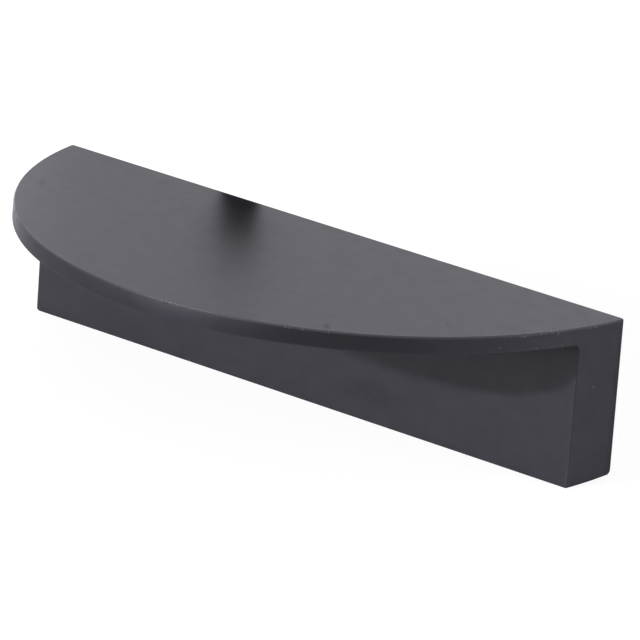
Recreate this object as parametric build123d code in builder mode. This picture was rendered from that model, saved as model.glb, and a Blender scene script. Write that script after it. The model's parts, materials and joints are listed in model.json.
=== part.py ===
from build123d import *
import os
from math import radians, tan

# Half-moon edge pull for drawers and cabinet doors, in one piece of metal.
#
# A thick upright plate lies against the drawer front and a thin flange juts forward along its top edge,
# so the pull starts as a length of L-section. One round cut in plan gives the flange its D outline and
# rounds both ends of the plate with the same cylinder.
#
# Frame: the origin is midway between the two screw holes, on the back face. +X runs along the pull,
# +Y points out of the back face into the furniture, and +Z points up. The flange reaches towards -Y.

# The D in plan
length = 100.0  # the straight back of the D, tip to tip
projection = 43.8  # from the back face to the crown of the arc

# The L-section
overall_height = 23.4  # from the plate's foot to the top face
plate_thickness = 7.9
flange_thickness = 2.6
root_radius = 0.8  # inside corner, where a fingertip hooks in
foot_rise = 0.75  # the foot slopes, this much higher at the back than at the front
foot_radius = 0.8  # lower back edge of the plate

# Edges broken after the round cut
corner_radius = 0.5  # upright corners at both ends of the back face, and on round the foot's ends
edge_radius = 0.25  # rim of the top face, rim of the flange's underside and of the plate's front

# Two blind holes tapped M4 in the back face
hole_spacing = 64.0
tap_drill_diameter = 3.3
drill_point_angle = 118.0
front_wall = 1.5  # metal left between the drill point and the plate's front
mouth_chamfer = 0.35

top_z = overall_height / 2
foot_z = -overall_height / 2
underside_z = top_z - flange_thickness

# Radius of the arc through both tips and the crown
arc_radius = (length**2 / 4 + projection**2) / (2 * projection)

tap_drill_radius = tap_drill_diameter / 2
drill_point_depth = tap_drill_radius / tan(radians(drill_point_angle / 2))
drill_depth = plate_thickness - front_wall - drill_point_depth

os.makedirs("parts", exist_ok=True)

with BuildPart() as pull_body:
    # L-section, extruded far enough each way for the arc to be cut from it
    with BuildSketch(Plane.YZ):
        with BuildLine():
            Polyline(
                (0, foot_z + foot_rise),
                (0, top_z),
                (-projection, top_z),
                (-projection, underside_z),
                (-plate_thickness, underside_z),
                (-plate_thickness, foot_z),
                close=True,
            )
        make_face()
    extrude(amount=arc_radius, both=True)
    root_edge = pull_body.edges().filter_by(Axis.X).group_by(Axis.Z)[-2].sort_by(Axis.Y)[-1]
    fillet(root_edge, radius=root_radius)

    # The round cut: what lies outside the D comes off the flange and the plate ends alike
    with BuildSketch(Plane.XY.offset(foot_z)):
        with BuildLine():
            ThreePointArc((-length / 2, 0), (0, -projection), (length / 2, 0))
            Line((length / 2, 0), (-length / 2, 0))
        make_face()
    extrude(amount=overall_height, mode=Mode.INTERSECT)

    # Lower back edge first, so that the upright corners run on round it
    foot_edge = pull_body.edges().filter_by(Axis.X).group_by(Axis.Y)[-1].sort_by(Axis.Z)[0]
    fillet(foot_edge, radius=foot_radius)
    back_corners = pull_body.edges().filter_by(Axis.Z).group_by(Axis.Y)[-1]
    fillet(back_corners, radius=corner_radius)

    # The rims: all round the top face, and round the front from the foot up along the underside
    top_rim = pull_body.faces().sort_by(Axis.Z)[-1].edges()
    front_uprights = pull_body.edges().filter_by(Axis.Z).group_by(Axis.Y)[0]
    fillet(top_rim + front_uprights, radius=edge_radius)

    # Blind tapped holes: drill, drill point and a light chamfer at the mouth
    back_face = -Plane.XZ
    with Locations(back_face):
        with GridLocations(hole_spacing, 0, 2, 1):
            CounterSinkHole(
                radius=tap_drill_radius,
                counter_sink_radius=tap_drill_radius + mouth_chamfer,
                depth=drill_depth,
                counter_sink_angle=90,
            )
    with Locations(back_face.offset(-drill_depth)):
        with GridLocations(hole_spacing, 0, 2, 1):
            Cone(
                bottom_radius=0,
                top_radius=tap_drill_radius,
                height=drill_point_depth,
                align=(Align.CENTER, Align.CENTER, Align.MAX),
                mode=Mode.SUBTRACT,
            )

pull_body.part.label = "pull_body"
export_step(pull_body.part, "parts/pull_body.step")
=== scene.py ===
# %% [markdown]
# A half-moon edge pull is one piece of metal: a thick plate that lies against the drawer, and a thin
# flange that fingers hook behind. The imported CAD model already has its exact shape, so this lesson
# keeps that body and gives it what CAD leaves out: the satin coat, the worn rims with their painted
# highlights, the screw threads, the small grains of paint with their painted glints, and a studio to
# look at it in. Every length here is in metres, in the frame of the CAD model.

# %% The frame
import bpy
import json
import random
from math import cos, hypot, pi, radians, sin
from mathutils import Matrix, Vector


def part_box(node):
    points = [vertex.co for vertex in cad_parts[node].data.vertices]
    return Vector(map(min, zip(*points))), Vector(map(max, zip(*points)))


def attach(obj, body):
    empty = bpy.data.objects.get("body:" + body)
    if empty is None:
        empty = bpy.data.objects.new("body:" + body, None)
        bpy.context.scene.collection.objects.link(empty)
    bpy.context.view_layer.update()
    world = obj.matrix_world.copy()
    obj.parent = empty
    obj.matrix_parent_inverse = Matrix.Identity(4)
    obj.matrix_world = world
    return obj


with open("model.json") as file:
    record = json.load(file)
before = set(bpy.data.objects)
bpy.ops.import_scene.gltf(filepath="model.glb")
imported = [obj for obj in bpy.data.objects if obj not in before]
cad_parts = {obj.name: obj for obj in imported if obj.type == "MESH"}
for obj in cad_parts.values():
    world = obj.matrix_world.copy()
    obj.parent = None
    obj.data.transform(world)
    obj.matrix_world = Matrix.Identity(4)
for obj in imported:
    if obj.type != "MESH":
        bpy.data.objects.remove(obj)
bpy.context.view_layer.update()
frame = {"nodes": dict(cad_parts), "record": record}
body = frame["nodes"]["pull_body"]

MM = 0.001
low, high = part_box("pull_body")
size = high - low
print("pull body, mm:", [round(side / MM, 2) for side in size])

# %% [markdown]
# The photograph was taken with a long lens from a little above the pull and off to its right. A camera
# could be placed by eye, but an orbit is easier to read and to change: a turn about Z, a tilt above
# the floor, a roll, a distance, and the point that the middle of the picture looks at.

# %% Camera
VIEW_TURN = radians(37.588)
VIEW_TILT = radians(18.716)
VIEW_ROLL = radians(4.254)
VIEW_DISTANCE = 888.66 * MM
VIEW_AIM = Vector((-1.091, -1.635, -1.860)) * MM
LENS = 353.706
SENSOR = 36.0
NEAREST, FARTHEST = 0.01, 20.0

view_back = Vector((sin(VIEW_TURN) * cos(VIEW_TILT), -cos(VIEW_TURN) * cos(VIEW_TILT), sin(VIEW_TILT)))
level_right = Vector((0, 0, 1)).cross(view_back).normalized()
level_up = view_back.cross(level_right)
view_right = cos(VIEW_ROLL) * level_right + sin(VIEW_ROLL) * level_up
view_up = cos(VIEW_ROLL) * level_up - sin(VIEW_ROLL) * level_right

camera_data = bpy.data.cameras.new("camera")
camera_data.lens = LENS
camera_data.sensor_width = SENSOR
camera_data.clip_start = NEAREST
camera_data.clip_end = FARTHEST
camera = bpy.data.objects.new("camera", camera_data)
turned = Matrix((view_right, view_up, view_back)).transposed().to_4x4()
camera.matrix_world = Matrix.Translation(VIEW_AIM + view_back * VIEW_DISTANCE) @ turned
bpy.context.scene.collection.objects.link(camera)
bpy.context.scene.camera = camera
bpy.context.scene.view_settings.view_transform = "Standard"
print("camera at, mm:", [round(c / MM, 1) for c in camera.matrix_world.translation])

# %% [markdown]
# Every finish, light and repeated detail below is a small graph of nodes. Graphs can be drawn in the
# editor, but written down each of their numbers gets a name. A few helpers keep them short: one adds
# a node and fills its sockets, where a value is a number and a node output is a wire, and the others
# do single sums on numbers and vectors, and smooth steps up and down. A span is the pair of values
# that a step runs between.

# %% Node helpers
def add(tree, kind, settings=None, **sockets):
    """Adds a node. Sockets are given by name, with _ for a space, or as in0, in1 for a place."""
    made = tree.nodes.new(kind)
    for name, value in (settings or {}).items():
        setattr(made, name, value)
    for name, value in sockets.items():
        place = int(name[2:]) if name[:2] == "in" and name[2:].isdigit() else name.replace("_", " ")
        socket = made.inputs[place]
        if isinstance(value, bpy.types.NodeSocket):
            tree.links.new(value, socket)
        else:
            socket.default_value = value
    return made


def calc(tree, operation, first, second=0.0):
    """One sum on one or two numbers, and its output."""
    return add(tree, "ShaderNodeMath", {"operation": operation}, in0=first, in1=second).outputs[0]


def vector(tree, operation, first, second=(0, 0, 0)):
    """One sum on one or two vectors. A length or a dot product is a number, the rest are vectors."""
    made = add(tree, "ShaderNodeVectorMath", {"operation": operation}, in0=first, in1=second)
    return made.outputs["Value" if operation in ("LENGTH", "DOT_PRODUCT") else "Vector"]


def joined(tree, x=0.0, y=0.0, z=0.0):
    """Three numbers as one vector."""
    return add(tree, "ShaderNodeCombineXYZ", X=x, Y=y, Z=z).outputs[0]


def gap(tree, first, second):
    """How far apart two numbers are."""
    return calc(tree, "ABSOLUTE", calc(tree, "SUBTRACT", first, second))


def ramp(tree, value, span, at_start=0.0, at_end=1.0):
    """A smooth step from one number to another, as value goes from one end of the span to the other."""
    made = add(tree, "ShaderNodeMapRange", {"interpolation_type": "SMOOTHSTEP"}, Value=value,
               From_Min=span[0], From_Max=span[1], To_Min=at_start, To_Max=at_end)
    return made.outputs[0]


def fade(tree, value, span, share=1.0):
    """A smooth step from a share down to nothing, as value goes through the span."""
    return ramp(tree, value, span, share, 0.0)


# %% [markdown]
# The studio's pieces and the grains start as bare meshes at the origin, and each finish as an empty
# graph. Primitives and the default material would do too, but they bring settings that nobody asked
# for, such as a scale on the object or a shader with two dozen sockets.

# %% Mesh and material helpers
def mesh_object(name, vertices, faces):
    """A mesh piece whose object stays at the origin."""
    mesh = bpy.data.meshes.new(name)
    mesh.from_pydata(vertices, [], faces)
    mesh.update()
    piece = bpy.data.objects.new(name, mesh)
    bpy.context.scene.collection.objects.link(piece)
    return piece


def fresh_material(name):
    """A material with an empty graph but for its output."""
    material = bpy.data.materials.new(name)
    material.use_nodes = True
    material.node_tree.nodes.clear()
    output = material.node_tree.nodes.new("ShaderNodeOutputMaterial")
    return material, material.node_tree, output


def object_place(tree):
    """Where a shaded point lies, in metres, in the frame of its object."""
    return add(tree, "ShaderNodeTexCoord").outputs["Object"]


def blend(tree, amount, first, second):
    """A colour that goes from first to second as amount goes from 0 to 1."""
    made = add(tree, "ShaderNodeMix", {"data_type": "RGBA"}, in0=amount, in6=first, in7=second)
    return made.outputs[2]


def noise(tree, place, scale, detail, roughness=0.5):
    """A soft random grey around a half. The scale is its blotches to the metre."""
    made = add(tree, "ShaderNodeTexNoise", Vector=place, Scale=scale, Detail=detail, Roughness=roughness)
    return made.outputs["Fac"]


# %% [markdown]
# The floor is a white table top under the plate's foot. Lit alone it would come out pale grey, so
# camera rays see it mixed with plain white: the open floor melts into the background and the soft
# shadow of the pull stays. Light and reflections still meet the real, diffuse table.

# %% Floor
FLOOR_HALF = 3.0
FLOOR_WHITE = (0.8, 0.8, 0.8, 1)
PLAIN_WHITE = (1, 1, 1, 1)
SEEN_WHITE = 0.72
SEEN_GLOW = 1.26

floor_z = low.z
corners = [(x * FLOOR_HALF, y * FLOOR_HALF, floor_z) for x, y in ((-1, -1), (1, -1), (1, 1), (-1, 1))]
floor = mesh_object("floor", corners, [(0, 1, 2, 3)])

floor_white, tree, output = fresh_material("floor_white")
table = add(tree, "ShaderNodeBsdfDiffuse", Color=FLOOR_WHITE).outputs[0]
white = add(tree, "ShaderNodeEmission", Color=PLAIN_WHITE, Strength=SEEN_GLOW).outputs[0]
rays = add(tree, "ShaderNodeLightPath").outputs
seen = calc(tree, "MULTIPLY", rays["Is Camera Ray"], SEEN_WHITE)
mix = add(tree, "ShaderNodeMixShader", in0=seen, in1=table, in2=white)
tree.links.new(mix.outputs[0], output.inputs["Surface"])
floor.data.materials.append(floor_white)
print("floor at, mm:", round(floor_z / MM, 2))

# %% [markdown]
# The pull stands between two soft boxes, low at its front left and low at its right back, with a white
# sweep in two halves behind it and a dim glow overhead. Area lamps and cards could make these, but
# they would stand in the way of the other views. A world that is brighter in some directions does the
# same work: each soft light is a glow that falls off with the angle from its middle.

# %% Room
ROOM_TINT = (0.985, 0.965, 1.055, 1)
# turn from the front, height above the floor, brightness, tightness of each soft light
SOFT_LIGHTS = {
    "front_box": (-19, 4, 11.0, 60),
    "front_fill": (-34, 6, 4.8, 34),
    "side_box": (104, 6, 12.1, 26),
    "left_sweep": (-125, 14, 2.33, 30),
    "right_sweep": (-160, 14, 3.30, 30),
    "overhead": (0, 90, 0.38, 5.0),
}


def heading(turn, tilt):
    """The direction that lies turn degrees from the front, towards +X, and tilt degrees up."""
    around, up = radians(turn), radians(tilt)
    return Vector((sin(around) * cos(up), -cos(around) * cos(up), sin(up)))


world = bpy.data.worlds.new("room")
bpy.context.scene.world = world
world.use_nodes = True
tree = world.node_tree
tree.nodes.clear()
direction = add(tree, "ShaderNodeTexCoord").outputs["Generated"]
brightness = 0.0
for turn, tilt, strength, tightness in SOFT_LIGHTS.values():
    near = vector(tree, "DOT_PRODUCT", direction, heading(turn, tilt))
    falloff = calc(tree, "MULTIPLY", calc(tree, "SUBTRACT", near, 1.0), tightness)
    glow = calc(tree, "MULTIPLY", calc(tree, "EXPONENT", falloff), strength)
    brightness = calc(tree, "ADD", glow, brightness)
room = add(tree, "ShaderNodeBackground", Color=ROOM_TINT, Strength=brightness).outputs[0]
backdrop = add(tree, "ShaderNodeBackground", Color=PLAIN_WHITE, Strength=1.0).outputs[0]
rays = add(tree, "ShaderNodeLightPath").outputs
mix = add(tree, "ShaderNodeMixShader", in0=rays["Is Camera Ray"], in1=room, in2=backdrop)
world_output = tree.nodes.new("ShaderNodeOutputWorld")
tree.links.new(mix.outputs[0], world_output.inputs["Surface"])
print("soft lights:", ", ".join(SOFT_LIGHTS))

# %% [markdown]
# One low lamp from the front left draws the flange's curved shadow across the plate. Where that shadow
# falls gives the lamp's direction: its deepest point lies right of the middle, and it reaches about a
# third as far down as the flange reaches forward.

# %% Low lamp
LAMP_TURN = -25.0
LAMP_TILT = 17.0
LAMP_POWER = 1.90
LAMP_WIDTH = radians(2.4)

lamp_data = bpy.data.lights.new("lamp", "SUN")
lamp_data.energy = LAMP_POWER
lamp_data.angle = LAMP_WIDTH
lamp_data.color = ROOM_TINT[:3]
lamp = bpy.data.objects.new("lamp", lamp_data)
lamp.rotation_euler = heading(LAMP_TURN, LAMP_TILT).to_track_quat("Z", "Y").to_euler()
bpy.context.scene.collection.objects.link(lamp)
print("low lamp, degrees:", LAMP_TURN, "round from the front and", LAMP_TILT, "up")

# %% [markdown]
# A small soft panel stands low beside the left tip and does what the far lights can't: it lights the
# table there and the flange's edge above it, and fades along the pull because it is near.

# %% Near panel
PANEL_PLACE = Vector((-125, 35, 9)) * MM
PANEL_AIM = Vector((-60, -5, -6)) * MM
PANEL_SIDE = 60 * MM
PANEL_WATTS = 0.036

panel_data = bpy.data.lights.new("near_panel", "AREA")
panel_data.shape = "DISK"
panel_data.size = PANEL_SIDE
panel_data.energy = PANEL_WATTS
panel_data.color = ROOM_TINT[:3]
panel = bpy.data.objects.new("near_panel", panel_data)
panel.location = PANEL_PLACE
panel.rotation_euler = (PANEL_PLACE - PANEL_AIM).to_track_quat("Z", "Y").to_euler()
panel.visible_camera = False
bpy.context.scene.collection.objects.link(panel)
print("near panel, mm from the left tip:", round((PANEL_PLACE - Vector((low.x, 0, 0))).length / MM, 1))

# %% [markdown]
# A small dark card hangs close behind the pull, just above its back edge. Only reflections meet it: it
# gives the soft dark patch on the top face, dark where the card is near and fading as the reflection
# spreads. It starts level with the top face, so the back face doesn't mirror it. Its upright sides are
# feathered to clear, because a hard side would draw a line on the paint.

# %% Dark card
CARD_MIDDLE = -18.95 * MM
CARD_WIDTH = 7.2 * MM
CARD_FEATHER = 1.3 * MM
CARD_GAP = 0.8 * MM
CARD_RISE = 9.2 * MM
CARD_BLACK = (0.01, 0.01, 0.01, 1)

half_card = CARD_WIDTH / 2 + CARD_FEATHER
card_left, card_right = CARD_MIDDLE - half_card, CARD_MIDDLE + half_card
card_y = high.y + CARD_GAP
card_low, card_top = high.z, high.z + CARD_RISE
card = mesh_object("dark_card", [
    (card_left, card_y, card_low), (card_right, card_y, card_low),
    (card_right, card_y, card_top), (card_left, card_y, card_top),
], [(0, 1, 2, 3)])

card_black, tree, output = fresh_material("card_black")
along_card = add(tree, "ShaderNodeSeparateXYZ", in0=object_place(tree)).outputs["X"]
feathered = ramp(tree, gap(tree, along_card, CARD_MIDDLE), (half_card - 2 * CARD_FEATHER, half_card))
black = add(tree, "ShaderNodeBsdfDiffuse", Color=CARD_BLACK).outputs[0]
clear = add(tree, "ShaderNodeBsdfTransparent").outputs[0]
mix = add(tree, "ShaderNodeMixShader", in0=feathered, in1=black, in2=clear)
tree.links.new(mix.outputs[0], output.inputs["Surface"])
card.data.materials.append(card_black)
card.visible_camera = False
card.visible_diffuse = False
card.visible_shadow = False
print("dark card, mm:", round(2 * half_card / MM, 1), "wide,", round(CARD_RISE / MM, 1), "high")

# %% [markdown]
# Rims, grains and threads all sit on the same few surfaces: the round cut, the top face, the flange's
# underside, the plate's front and the two bores. Most of their sizes come from the body's box and from
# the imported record, so a change of the CAD model carries through. The first three numbers below are
# in neither, so they repeat the ones in the part's source.

# %% Surfaces of the body
TIP_TO_TIP = 100 * MM
FLANGE = 2.6 * MM
PLATE = 7.9 * MM

reach = -low.y
arc_radius = ((TIP_TO_TIP / 2) ** 2 + reach ** 2) / (2 * reach)
arc_y = arc_radius - reach
top_z = high.z
underside_z = top_z - FLANGE
screw_dims = next(m for m in frame["record"]["mounts"] if m["name"] == "screw_holes")["dims"]
hole_spacing = screw_dims["spacing_x_mm"] * MM
hole_radius = screw_dims["hole_r_mm"] * MM
print("radius of the round cut, mm:", round(arc_radius / MM, 2))
print("holes, mm:", round(hole_spacing / MM, 2), "apart, radius", round(hole_radius / MM, 2))

# %% [markdown]
# The coat is a dark violet-grey satin paint over the metal. Almost all that the eye sees on it is
# reflection: weak and blurred face on, strong at a shallow angle, which is why the top looks pale.
# It could be painted on as a picture, but a picture has to be fitted to the body. A graph that
# measures how far each point lies from the body's surfaces finds every rim by itself.

# %% Satin coat: where a point lies
coat, tree, output = fresh_material("satin_coat")
place = object_place(tree)
axes = add(tree, "ShaderNodeSeparateXYZ", in0=place).outputs

from_axis = joined(tree, axes["X"], calc(tree, "SUBTRACT", axes["Y"], arc_y))
from_cut = gap(tree, arc_radius, vector(tree, "LENGTH", from_axis))
from_top = gap(tree, top_z, axes["Z"])
from_under = gap(tree, underside_z, axes["Z"])
from_front = gap(tree, axes["Y"], -PLATE)
# the underside ends at the plate and the plate's front ends at the underside: a metre more beyond
past_plate = calc(tree, "GREATER_THAN", axes["Y"], -PLATE)
past_under = calc(tree, "GREATER_THAN", axes["Z"], underside_z)
top_rim = calc(tree, "ADD", from_cut, from_top)
under_rim = calc(tree, "ADD", calc(tree, "ADD", from_cut, from_under), past_plate)
front_rim = calc(tree, "ADD", calc(tree, "ADD", from_cut, from_front), past_under)
any_rim = calc(tree, "MINIMUM", top_rim, calc(tree, "MINIMUM", under_rim, front_rim))
print("places in the coat take", len(tree.nodes), "nodes")

# %% [markdown]
# Such paint is never quite even. It dries slightly cloudy, and handling has left one faint dark smudge
# on the plate's front. Both are noises that blend two close colours: the clouds everywhere, the smudge
# only within a flat oval.

# %% Satin coat: clouds and smudge
COAT_COLOUR = (0.0157, 0.0152, 0.0205, 1)
COAT_PALE = (0.0197, 0.0190, 0.0247, 1)
CLOUD_SCALE = 420
CLOUD_LEVELS = (0.38, 0.66)
SMUDGE_COLOUR = (0.0095, 0.0092, 0.0125, 1)
SMUDGE_X, SMUDGE_Z = 14.3 * MM, -7.3 * MM
SMUDGE_HALF_WIDTH, SMUDGE_HALF_HEIGHT = 9.0 * MM, 2.6 * MM
SMUDGE_SKIN = 1.0 * MM
SMUDGE_FADE = (0.2, 1.0)
MOTTLE_SCALE = 900
MOTTLE_LEVELS = (0.35, 0.65)
MOTTLE_LEAST = 0.45

clouds = noise(tree, place, CLOUD_SCALE, detail=4.0, roughness=0.6)
cloudy = ramp(tree, clouds, CLOUD_LEVELS)
colour = blend(tree, cloudy, COAT_COLOUR, COAT_PALE)

smudge_x = calc(tree, "DIVIDE", calc(tree, "SUBTRACT", axes["X"], SMUDGE_X), SMUDGE_HALF_WIDTH)
smudge_z = calc(tree, "DIVIDE", calc(tree, "SUBTRACT", axes["Z"], SMUDGE_Z), SMUDGE_HALF_HEIGHT)
smudge_depth = calc(tree, "DIVIDE", from_front, SMUDGE_SKIN)
oval = fade(tree, vector(tree, "LENGTH", joined(tree, smudge_x, smudge_z, smudge_depth)), SMUDGE_FADE)
mottle = noise(tree, place, MOTTLE_SCALE, detail=2.0)
mottle = ramp(tree, mottle, MOTTLE_LEVELS, MOTTLE_LEAST, 1.0)
colour = blend(tree, calc(tree, "MULTIPLY", oval, mottle), colour, SMUDGE_COLOUR)
print("smudge, mm:", round(2 * SMUDGE_HALF_WIDTH / MM, 1), "by", round(2 * SMUDGE_HALF_HEIGHT / MM, 1))

# %% [markdown]
# On the flange's thin edge the coat's colour carries painted light: a painted highlight near the middle
# runs into a painted shade further right. A window, which is a step up and then a step down along the
# pull, says where each lies.

# %% Satin coat: painted highlight and shade on the flange's edge
EDGE_SKIN = (0.10 * MM, 0.25 * MM)
# colour of the painted highlight and of the painted shade, and where along the pull each comes in and
# goes out
EDGE_HIGHLIGHT_AND_SHADE = (
    ((0.0270, 0.0258, 0.0330, 1), (-2 * MM, 4 * MM), (9 * MM, 15 * MM)),
    ((0.0100, 0.0096, 0.0130, 1), (15 * MM, 22 * MM), (32 * MM, 42 * MM)),
)


def window(tree, value, entering, leaving):
    """A stretch of 1 between a smooth step up and a smooth step down."""
    return calc(tree, "MULTIPLY", ramp(tree, value, entering), fade(tree, value, leaving))


on_flange_edge = calc(tree, "MULTIPLY", fade(tree, from_cut, EDGE_SKIN), past_under)
# painted light: a painted highlight, then a painted shade, blended into the colour of the flange's edge
for tone, entering, leaving in EDGE_HIGHLIGHT_AND_SHADE:
    stretch = window(tree, axes["X"], entering, leaving)
    colour = blend(tree, calc(tree, "MULTIPLY", stretch, on_flange_edge), colour, tone)
print("tones of the flange's edge:", len(EDGE_HIGHLIGHT_AND_SHADE))

# %% [markdown]
# The sharp rims get a pale colour, and that colour is painted light. On the rims of the underside and
# of the plate's front it is a faint painted highlight, stronger towards the plate's foot. On the rim of
# the top face it is strongest: a painted reflection that carries the top's sheen over the rim, as a pale
# line that is strongest on the right and nearly gone at the left tip.

# %% Satin coat: painted highlight and reflection on the rims
RIM_HIGHLIGHT_COLOUR = (0.0340, 0.0323, 0.0375, 1)
RIM_WIDTH = (0.20 * MM, 0.44 * MM)
UNDER_SHARE = 0.24
FRONT_HIGH, FRONT_LOW = 0.20, 0.50
FRONT_CHANGE = (-5 * MM, -10 * MM)
BESIDE_CUT = (0.24 * MM, 0.30 * MM)
TOP_RIM_REFLECTION_LEFT = (0.0500, 0.0477, 0.0545, 1)
TOP_RIM_REFLECTION_RIGHT = (0.0730, 0.0696, 0.0785, 1)
TOP_RIM_CHANGE = (12 * MM, 22 * MM)
TOP_RIM_DEPTH = (0.02 * MM, 0.42 * MM)
TOP_RIM_TIP = (-36 * MM, -25 * MM)
TOP_RIM_TIP_SHARE = 0.15

# painted highlight: a pale colour on the lower rims, in place of the light they catch
on_under_rim = fade(tree, under_rim, RIM_WIDTH, UNDER_SHARE)
front_share = ramp(tree, axes["Z"], FRONT_CHANGE, FRONT_HIGH, FRONT_LOW)
on_front_rim = calc(tree, "MULTIPLY", fade(tree, front_rim, RIM_WIDTH), front_share)
lower_rims_highlight_and_wear = calc(tree, "MAXIMUM", on_under_rim, on_front_rim)
colour = blend(tree, lower_rims_highlight_and_wear, colour, RIM_HIGHLIGHT_COLOUR)

# painted reflection: a pale colour on the top rim, carrying the top's sheen over it
top_share = ramp(tree, axes["X"], TOP_RIM_TIP, TOP_RIM_TIP_SHARE, 1.0)
beside_cut = calc(tree, "MULTIPLY", fade(tree, from_cut, BESIDE_CUT), top_share)
top_rim_reflection_mask = calc(tree, "MULTIPLY", beside_cut, fade(tree, from_top, TOP_RIM_DEPTH))
top_rim_reflection_colour = blend(tree, ramp(tree, axes["X"], TOP_RIM_CHANGE), TOP_RIM_REFLECTION_LEFT, TOP_RIM_REFLECTION_RIGHT)
colour = blend(tree, top_rim_reflection_mask, colour, top_rim_reflection_colour)
print("worn rims reach, mm:", round(RIM_WIDTH[1] / MM, 2))

# %% [markdown]
# On one stretch of the top rim the paint has dried in tiny nibs, and they carry painted glints: their
# pale colour stands in for the top's sheen caught on each. Modelled one by one they would cost thousands
# of faces, so a fine noise shows them where it peaks, and a coarse noise gathers them into groups.

# %% Satin coat: nibs with painted glints
NIB_GLINT_COLOUR = (0.1400, 0.1320, 0.1440, 1)
NIB_WIDTH = (0.25 * MM, 0.75 * MM)
NIB_ENTER = (43.8 * MM, 44.8 * MM)
NIB_LEAVE = (46.7 * MM, 47.7 * MM)
NIB_LEVELS = (0.83, 0.93)
NIB_GROUP_SCALE = 260
NIB_GROUP_SHARE = 0.5
SPECK_SCALE = 2600

speckle = noise(tree, place, SPECK_SCALE, detail=2.0)
groups = noise(tree, place, NIB_GROUP_SCALE, detail=1.0)
grouped = calc(tree, "ADD", speckle, calc(tree, "MULTIPLY", groups, NIB_GROUP_SHARE))
nib_stretch = window(tree, axes["X"], NIB_ENTER, NIB_LEAVE)
nib_place = calc(tree, "MULTIPLY", fade(tree, top_rim, NIB_WIDTH), nib_stretch)
# painted glint: the nibs are pale in colour where the top's sheen would catch them
nib_glints = calc(tree, "MULTIPLY", nib_place, ramp(tree, grouped, NIB_LEVELS))
colour = blend(tree, nib_glints, colour, NIB_GLINT_COLOUR)
print("coat colour takes", len(tree.nodes), "nodes")

# %% [markdown]
# The sheen varies as the colour does. It is duller where the coat is worn, a little smoother round the
# cut, and dull in three soft spots on the top face where dust fell on the wet paint and the spray
# smeared it. Each spot fades with the distance from its middle, and that distance counts for less
# along the smear than across it, so the spot comes out long.

# %% Satin coat: roughness
COAT_ROUGHNESS = 0.45
CLOUD_ROUGHNESS = 0.03
RIM_ROUGHNESS = 0.32
DUST_ROUGHNESS = 0.12
EDGE_SMOOTHNESS = 0.08
SMOOTH_SKIN = (0.05 * MM, 0.20 * MM)
# across and along the top face and half width, in mm, and dullness of each dust spot, and their smear
DUST_SPOTS = ((-40.5, -17.4, 0.80, 0.5), (25.5, -34.6, 0.70, 1.0), (35.4, -20.7, 0.60, 0.4))
SMEAR_TURN = radians(37)
SMEAR = 2.6

smear_along = Vector((sin(SMEAR_TURN), -cos(SMEAR_TURN), 0)) / SMEAR
smear_across = Vector((cos(SMEAR_TURN), sin(SMEAR_TURN), 0))
dust = 0.0
for x, y, half_width, dullness in DUST_SPOTS:
    offset = vector(tree, "SUBTRACT", place, (x * MM, y * MM, top_z))
    along = vector(tree, "DOT_PRODUCT", offset, smear_along)
    across = vector(tree, "DOT_PRODUCT", offset, smear_across)
    away = vector(tree, "LENGTH", joined(tree, along, across, from_top))
    dust = calc(tree, "ADD", fade(tree, away, (0.0, half_width * MM), dullness), dust)

clouded = calc(tree, "MULTIPLY", calc(tree, "SUBTRACT", cloudy, 0.5), CLOUD_ROUGHNESS)
smoothed = fade(tree, from_cut, SMOOTH_SKIN, -EDGE_SMOOTHNESS)
worn = calc(tree, "MULTIPLY", lower_rims_highlight_and_wear, RIM_ROUGHNESS)
dusty = calc(tree, "MULTIPLY", dust, DUST_ROUGHNESS)
roughness = COAT_ROUGHNESS
for change in (clouded, smoothed, worn, dusty):
    roughness = calc(tree, "ADD", change, roughness)
print("dust spots:", len(DUST_SPOTS), "on a roughness of", COAT_ROUGHNESS)

# %% [markdown]
# Polishing and paint leave the flat faces not quite flat: the thin flange edge is slightly crowned, the
# flat top is carried a little way over its rim, and the back corners are eased a millimetre further
# than their fillets. That is too little to model, but it bends the reflection. So the shader leans the
# normal, the direction a surface faces, and the light answers as if the shape were there.

# %% Satin coat: leaning normals
CROWN_LEAN = 0.12
CROWN_END = (16 * MM, 36 * MM)
CROWN_RIM = (0.95, 1.15)
CORNER_LEAN = 0.40
CORNER_SKIN = (0.05 * MM, 0.15 * MM)
CORNER_SPAN = (-2.4 * MM, -0.4 * MM)
SHOULDER_LEAN = 9.0
SHOULDER_BREAK = (0.009 * MM, 0.016 * MM)
FILLET_SKIN = (0.10 * MM, 0.20 * MM)
FILLET_DEPTH = (0.26 * MM, 0.32 * MM)

facing = add(tree, "ShaderNodeNewGeometry").outputs["Normal"]
facing_up = add(tree, "ShaderNodeSeparateXYZ", in0=facing).outputs["Z"]

# the edge's crown: up in its upper half, down in its lower half
up_edge = calc(tree, "DIVIDE", calc(tree, "SUBTRACT", axes["Z"], top_z - FLANGE / 2), FLANGE / 2)
crown_share = fade(tree, calc(tree, "ABSOLUTE", up_edge), CROWN_RIM, CROWN_LEAN)
crown_share = calc(tree, "MULTIPLY", crown_share, fade(tree, axes["X"], CROWN_END))
crown = calc(tree, "MULTIPLY", up_edge, crown_share)

# the top rim's fillet: shaded like the top above the break, and like the edge below it, because paint
# rounds such a rim far less than its fillet does
past_break = ramp(tree, from_top, SHOULDER_BREAK)
before_break = calc(tree, "SUBTRACT", 1.0, past_break)
lift = calc(tree, "MULTIPLY", fade(tree, from_cut, BESIDE_CUT, SHOULDER_LEAN), before_break)
on_fillet = calc(tree, "MULTIPLY", fade(tree, from_cut, FILLET_SKIN), fade(tree, from_top, FILLET_DEPTH))
drop = calc(tree, "MULTIPLY", facing_up, calc(tree, "MULTIPLY", on_fillet, past_break))
lean_up = calc(tree, "ADD", calc(tree, "SUBTRACT", lift, drop), crown)

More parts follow.
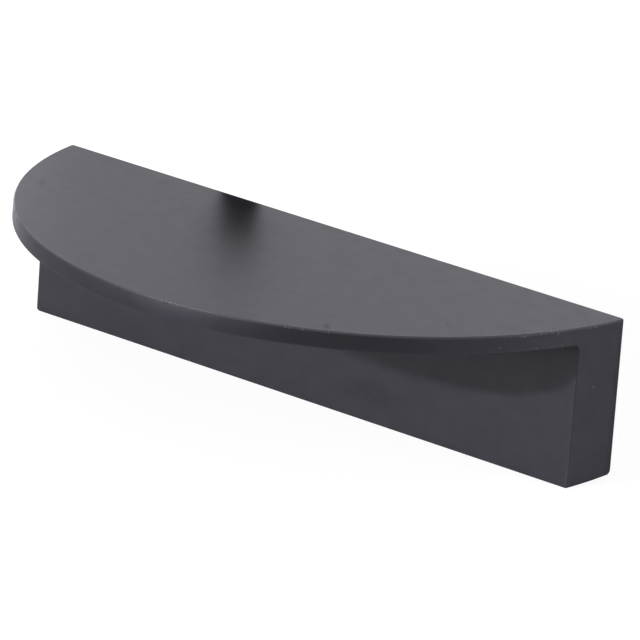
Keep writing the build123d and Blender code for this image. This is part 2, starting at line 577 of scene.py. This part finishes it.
# the eased back corners: leaning back on the last millimetres of the round cut
lean_back = fade(tree, from_cut, CORNER_SKIN, CORNER_LEAN)
lean_back = calc(tree, "MULTIPLY", lean_back, ramp(tree, axes["Y"], CORNER_SPAN))
leaned = vector(tree, "ADD", facing, joined(tree, 0.0, lean_back, lean_up))
leaned = vector(tree, "NORMALIZE", leaned)
print("coat with its leaning normals takes", len(tree.nodes), "nodes")

# %% [markdown]
# Sprayed paint also dries to a faint orange peel, and to a finer grit that is stronger at the rims. Real
# relief that fine would need millions of faces. Two bumps a few thousandths of a millimetre deep turn
# only the normal, and break up the reflections just enough.

# %% Satin coat: orange peel and grit
PEEL_SCALE = 1500
PEEL_DEPTH = 0.004 * MM
GRIT_DEPTH = 0.003 * MM
GRIT_SPAN = (RIM_WIDTH[0], 2 * RIM_WIDTH[1])
GRIT_AT_RIM = 4.0


def bump(tree, height, depth, normal):
    """The normal of a surface raised by a height from 0 to 1, times a depth in metres."""
    made = add(tree, "ShaderNodeBump", Strength=1.0, Distance=depth, Height=height, Normal=normal)
    return made.outputs[0]


peel = noise(tree, place, PEEL_SCALE, detail=3.0, roughness=0.55)
peeled = bump(tree, peel, PEEL_DEPTH, leaned)
grit = calc(tree, "MULTIPLY", speckle, ramp(tree, any_rim, GRIT_SPAN, GRIT_AT_RIM, 1.0))
gritty = bump(tree, grit, GRIT_DEPTH, peeled)
print("orange peel and grit, mm deep:", round(PEEL_DEPTH / MM, 3), round(GRIT_DEPTH / MM, 3))

# %% [markdown]
# The bores are drilled and tapped after painting, so they are bare metal. One mask finds them: close
# to a bore's axis, and well behind the plate's painted front. The same shader mixes both finishes,
# because the bores belong to the body's own mesh. The drill leaves fine rings in the metal, so the
# noise of its sheen is squeezed along the bore.

# %% Satin coat: bare bores
COAT_INDEX = 1.5
METAL_COLOUR = (0.60, 0.60, 0.62, 1)
METAL_ROUGHNESS = (0.28, 0.48)
SCRATCH_SCALE = (1500, 9000, 1500)
SCRATCH_LEVELS = (0.3, 0.7)
MOUTH = 0.37 * MM
MOUTH_BLEND = 0.02 * MM
BEHIND_FRONT = (0.6 * MM, 0.7 * MM)

off_axis = calc(tree, "SUBTRACT", calc(tree, "ABSOLUTE", axes["X"]), hole_spacing / 2)
from_bore = vector(tree, "LENGTH", joined(tree, off_axis, axes["Z"]))
mouth_radius = hole_radius + MOUTH
near_bore = fade(tree, from_bore, (mouth_radius, mouth_radius + MOUTH_BLEND))
inside_plate = ramp(tree, calc(tree, "ADD", axes["Y"], PLATE), BEHIND_FRONT)
bare = calc(tree, "MULTIPLY", near_bore, inside_plate)

painted = add(tree, "ShaderNodeBsdfPrincipled", Base_Color=colour, Roughness=roughness, IOR=COAT_INDEX,
              Normal=gritty).outputs[0]
drawn_out = add(tree, "ShaderNodeMapping", Vector=place, Scale=SCRATCH_SCALE).outputs[0]
scratches = noise(tree, drawn_out, 1.0, detail=2.0)
scratched = ramp(tree, scratches, SCRATCH_LEVELS, *METAL_ROUGHNESS)
metal = add(tree, "ShaderNodeBsdfPrincipled", Base_Color=METAL_COLOUR, Metallic=1.0,
            Roughness=scratched).outputs[0]
mix = add(tree, "ShaderNodeMixShader", in0=bare, in1=painted, in2=metal)
tree.links.new(mix.outputs[0], output.inputs["Surface"])
for slot in body.material_slots:
    slot.material = coat
print("coat on", len(body.material_slots), "slots of the body")

# %% [markdown]
# The threads are bare metal too. They could share the bores' shader, but they are a piece of their own,
# so a short graph of their own is enough: a fine noise varies the tone and the sheen of the cut.

# %% Bare metal of the threads
CUT_SCALE = 4000
CUT_TONES = ((0.55, 0.55, 0.57, 1), (0.68, 0.68, 0.70, 1))
CUT_TONE_LEVELS = (0.35, 0.65)
CUT_ROUGHNESS = (0.30, 0.46)
CUT_ROUGHNESS_LEVELS = (0.3, 0.7)

tapped_metal, tree, output = fresh_material("tapped_metal")
cut = noise(tree, object_place(tree), CUT_SCALE, detail=3.0)
cut_tone = blend(tree, ramp(tree, cut, CUT_TONE_LEVELS), *CUT_TONES)
cut_rough = ramp(tree, cut, CUT_ROUGHNESS_LEVELS, *CUT_ROUGHNESS)
shader = add(tree, "ShaderNodeBsdfPrincipled", Base_Color=cut_tone, Metallic=1.0, Roughness=cut_rough)
tree.links.new(shader.outputs[0], output.inputs["Surface"])
print("bare metal takes", len(tree.nodes), "nodes")

# %% [markdown]
# A tapped hole has a screw thread: a ridge that climbs the bore as a helix. It could be turned as a
# solid of revolution and sheared, but a helix is a path, and Geometry Nodes follow paths well: a
# spiral curve carries a small trapezoid profile, and the result is placed at both holes. The inputs
# are the thread's own sizes, so any other screw needs only new numbers.

# %% Geometry node helpers
def new_geometry_tree(name, inputs):
    """A node group with named inputs, a geometry output, and a place for each input's socket."""
    tree = bpy.data.node_groups.new(name, "GeometryNodeTree")
    sockets = {}
    for label, kind in inputs.items():
        sockets[label] = tree.interface.new_socket(label, in_out="INPUT", socket_type=kind)
    tree.interface.new_socket("Geometry", in_out="OUTPUT", socket_type="NodeSocketGeometry")
    entry = tree.nodes.new("NodeGroupInput")
    exit_node = tree.nodes.new("NodeGroupOutput")
    return tree, sockets, entry.outputs, exit_node.inputs[0]


def finish_tree(tree, geometry, material, exit_socket):
    """Ends a tree: instances become real mesh, and the mesh gets its material."""
    real = add(tree, "GeometryNodeRealizeInstances", in0=geometry).outputs[0]
    dressed = add(tree, "GeometryNodeSetMaterial", Geometry=real, Material=material).outputs[0]
    tree.links.new(dressed, exit_socket)


def grow(name, tree, sockets, values, start=None):
    """Runs a tree on an object and turns the result into a plain mesh piece."""
    piece = start or mesh_object(name, [], [])
    modifier = piece.modifiers.new("grow", "NODES")
    modifier.node_group = tree
    for label, value in values.items():
        modifier[sockets[label].identifier] = value
    bpy.context.view_layer.update()
    evaluated = piece.evaluated_get(bpy.context.evaluated_depsgraph_get())
    grown = bpy.data.meshes.new_from_object(evaluated)
    piece.modifiers.remove(modifier)
    piece.data = grown
    grown.name = name
    print(name, "has", len(grown.vertices), "vertices and", len(grown.polygons), "faces")
    return piece


# %% [markdown]
# The thread's tree lays a helix, carries the profile along it and sets the ridge in both holes. The
# profile is centred on the helix, so a path a little less than half a ridge inside the wall sinks one
# side of the ridge in the metal. A quarter turn lays the profile's height across the bore. Turned this
# way its wide side faces the bore; on a real thread the narrow side does, and -90 degrees would give it.

# %% Tree of the screw thread
TURN_STEPS = 48
RIDGE_INSET = 0.42

tree, sockets, given, result = new_geometry_tree("screw_thread", {
    "Bore Radius": "NodeSocketFloat", "Pitch": "NodeSocketFloat", "Turns": "NodeSocketFloat",
    "Ridge Height": "NodeSocketFloat", "Bore Side": "NodeSocketFloat", "Wall Side": "NodeSocketFloat",
    "Start Depth": "NodeSocketFloat", "Hole Spacing": "NodeSocketFloat", "Material": "NodeSocketMaterial",
})
inset = calc(tree, "MULTIPLY", given["Ridge Height"], RIDGE_INSET)
path_radius = calc(tree, "SUBTRACT", given["Bore Radius"], inset)
climb = calc(tree, "MULTIPLY", given["Pitch"], given["Turns"])
helix = add(tree, "GeometryNodeCurveSpiral", Resolution=TURN_STEPS, Rotations=given["Turns"],
            Start_Radius=path_radius, End_Radius=path_radius, Height=climb).outputs[0]
helix = add(tree, "GeometryNodeSetCurveNormal", {"mode": "Z_UP"}, Curve=helix).outputs[0]
profile = add(tree, "GeometryNodeCurvePrimitiveQuadrilateral", {"mode": "TRAPEZOID"}, Offset=0.0,
              Height=given["Ridge Height"], Bottom_Width=given["Bore Side"],
              Top_Width=given["Wall Side"]).outputs[0]
quarter = add(tree, "GeometryNodeTransform", Geometry=profile, Rotation=(0, 0, radians(90))).outputs[0]
ridge = add(tree, "GeometryNodeCurveToMesh", Curve=helix, Profile_Curve=quarter,
            Fill_Caps=True).outputs[0]
inward = joined(tree, y=calc(tree, "MULTIPLY", given["Start Depth"], -1.0))
laid = add(tree, "GeometryNodeTransform", Geometry=ridge, Translation=inward,
           Rotation=(radians(90), 0, 0)).outputs[0]
left_hole = joined(tree, x=calc(tree, "MULTIPLY", given["Hole Spacing"], -0.5))
step_over = joined(tree, x=given["Hole Spacing"])
holes = add(tree, "GeometryNodeMeshLine", Count=2, Start_Location=left_hole, Offset=step_over).outputs[0]
both = add(tree, "GeometryNodeInstanceOnPoints", Points=holes, Instance=laid).outputs[0]
finish_tree(tree, both, given["Material"], result)
print("screw thread takes", len(tree.nodes), "nodes")

# %% [markdown]
# The screw is an M4, whose thread climbs 0.7 mm a turn. The tap reaches about as deep as the drill, so
# the ridge makes seven turns and ends about where the drill point begins. Its wall side is sunk a
# little in the metal, so that no gap shows.

# %% Screw threads
PITCH = 0.7 * MM
THREAD_TURNS = 7.0
THREAD_START = 0.32 * MM
RIDGE_HEIGHT = 0.25 * MM
RIDGE_BORE_SIDE = 0.50 * MM
RIDGE_WALL_SIDE = 0.16 * MM

threads = grow("screw_threads", tree, sockets, {
    "Bore Radius": hole_radius, "Pitch": PITCH, "Turns": THREAD_TURNS, "Ridge Height": RIDGE_HEIGHT,
    "Bore Side": RIDGE_BORE_SIDE, "Wall Side": RIDGE_WALL_SIDE, "Start Depth": THREAD_START,
    "Hole Spacing": hole_spacing, "Material": tapped_metal,
})
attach(threads, "root")
spots = [vertex.co for vertex in threads.data.vertices]
ring = [hypot(abs(spot.x) - hole_spacing / 2, spot.z) / MM for spot in spots]
print("thread radii, mm:", round(min(ring), 3), "to", round(max(ring), 3))

# %% [markdown]
# Paint gathers into small grains where the spray meets a sharp rim, and a few more lie on the plate's
# end. They could be sculpted, but they are one small thing many times over, so a tree of nodes sets a
# squashed ball on each of a list of points and turns and sizes it at random from a fixed seed. Some
# points are places read from the photograph, the others a seeded scatter in a few groups on the rim.

# %% Points of the paint grains
GRAIN_RADIUS = 0.17 * MM
GRAIN_SEED = 11
GRAIN_SUNK = 0.38
# turn from the front about the axis of the round cut, in degrees, height, in mm, and relative size
GRAIN_PLACES = (
    # on the top rim
    (5.0, 11.47, 1.4), (5.6, 11.44, 1.4), (6.6, 11.46, 1.4), (7.5, 11.44, 1.4),
    (25.6, 11.49, 1.2), (26.3, 11.48, 1.2), (28.3, 11.50, 1.3), (32.3, 11.48, 1.4),
    (62.5, 11.48, 1.4), (63.8, 11.46, 1.4), (66.0, 11.50, 1.4), (66.8, 11.46, 1.4),
    (68.1, 11.47, 1.6), (74.9, 11.44, 2.2), (76.3, 11.42, 1.8),
    # on the flange's edge
    (53.7, 9.30, 0.9), (59.1, 9.93, 0.9), (65.3, 9.52, 1.6), (70.0, 9.51, 2.0),
    # on the plate's end
    (76.7, 2.74, 2.4), (73.1, 3.80, 1.0),
)
SCATTERED = 16
SCATTERED_SIZE = 1.0
# stretches of the rim, in degrees, with the longer one twice because it holds more of them
SCATTER_GROUPS = ((61.5, 68.5), (61.5, 68.5), (74.0, 77.0))
SCATTER_HEIGHT = (11.42, 11.56)

scatter = random.Random(GRAIN_SEED)
places = list(GRAIN_PLACES)
for _ in range(SCATTERED):
    group = scatter.choice(SCATTER_GROUPS)
    places.append((scatter.uniform(*group), scatter.uniform(*SCATTER_HEIGHT), SCATTERED_SIZE))
points = []
for turn, z, share in places:
    stand_off = arc_radius - GRAIN_SUNK * GRAIN_RADIUS * share
    points.append((stand_off * sin(radians(turn)), arc_y - stand_off * cos(radians(turn)), z * MM))
seeds = mesh_object("paint_grains", points, [])
relative = seeds.data.attributes.new("grain_size", "FLOAT", "POINT")
relative.data.foreach_set("value", [share for _, _, share in places])
print("paint grains:", len(places))

# %% [markdown]
# The grains are drops of the same paint, dried duller; their pale colour is a painted glint, the light
# each grain catches at the rim. The coat's own graph would shade them as part of the rim, so they get a
# plain one, in which a noise makes the painted glint paler on some grains than on others.

# %% Paint of the grains, with painted glints
GRAIN_GLINT_TONES = ((0.062, 0.060, 0.066, 1), (0.105, 0.100, 0.110, 1))
GRAIN_TONE_SCALE = 900
GRAIN_TONE_LEVELS = (0.35, 0.65)
GRAIN_ROUGHNESS = 0.6

glinting_grain_paint, tree, output = fresh_material("glinting_grain_paint")
grain_shade = noise(tree, object_place(tree), GRAIN_TONE_SCALE, detail=1.0)
grain_glint_tone = blend(tree, ramp(tree, grain_shade, GRAIN_TONE_LEVELS), *GRAIN_GLINT_TONES)
# painted glint: a pale base colour in place of the light the grains catch
shader = add(tree, "ShaderNodeBsdfPrincipled", Base_Color=grain_glint_tone, Roughness=GRAIN_ROUGHNESS,
             IOR=COAT_INDEX)
tree.links.new(shader.outputs[0], output.inputs["Surface"])
print("grain paint takes", len(tree.nodes), "nodes")

# %% [markdown]
# Now the tree itself. Every point already knows its own size, so the tree only adds the chance: a turn
# any way round, and a size between the smallest share and the whole.

# %% Paint grains
BALL_STEPS = 2
GRAIN_SMALLEST = 0.75
GRAIN_SQUASH = (1.0, 0.8, 0.65)
FULL_TURNS = (2 * pi, 2 * pi, 2 * pi)

tree, sockets, given, result = new_geometry_tree("grains_on_points", {
    "Points": "NodeSocketGeometry", "Grain Radius": "NodeSocketFloat", "Smallest": "NodeSocketFloat",
    "Seed": "NodeSocketInt", "Material": "NodeSocketMaterial",
})
ball = add(tree, "GeometryNodeMeshIcoSphere", Radius=given["Grain Radius"],
           Subdivisions=BALL_STEPS).outputs[0]
squashed = add(tree, "GeometryNodeTransform", Geometry=ball, Scale=GRAIN_SQUASH).outputs[0]
grain_turn = add(tree, "FunctionNodeRandomValue", {"data_type": "FLOAT_VECTOR"}, in0=(0, 0, 0),
                 in1=FULL_TURNS, Seed=given["Seed"]).outputs[0]
grain_size = add(tree, "FunctionNodeRandomValue", {"data_type": "FLOAT"}, in2=given["Smallest"], in3=1.0,
                 Seed=given["Seed"]).outputs[1]
own_size = add(tree, "GeometryNodeInputNamedAttribute", {"data_type": "FLOAT"}, Name="grain_size")
whole_size = calc(tree, "MULTIPLY", grain_size, own_size.outputs[0])
grains = add(tree, "GeometryNodeInstanceOnPoints", Points=given["Points"], Instance=squashed,
             Rotation=grain_turn, Scale=whole_size).outputs[0]
finish_tree(tree, grains, given["Material"], result)

grains = grow("paint_grains", tree, sockets, {
    "Grain Radius": GRAIN_RADIUS, "Smallest": GRAIN_SMALLEST, "Seed": GRAIN_SEED, "Material": glinting_grain_paint,
}, start=seeds)
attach(grains, "root")
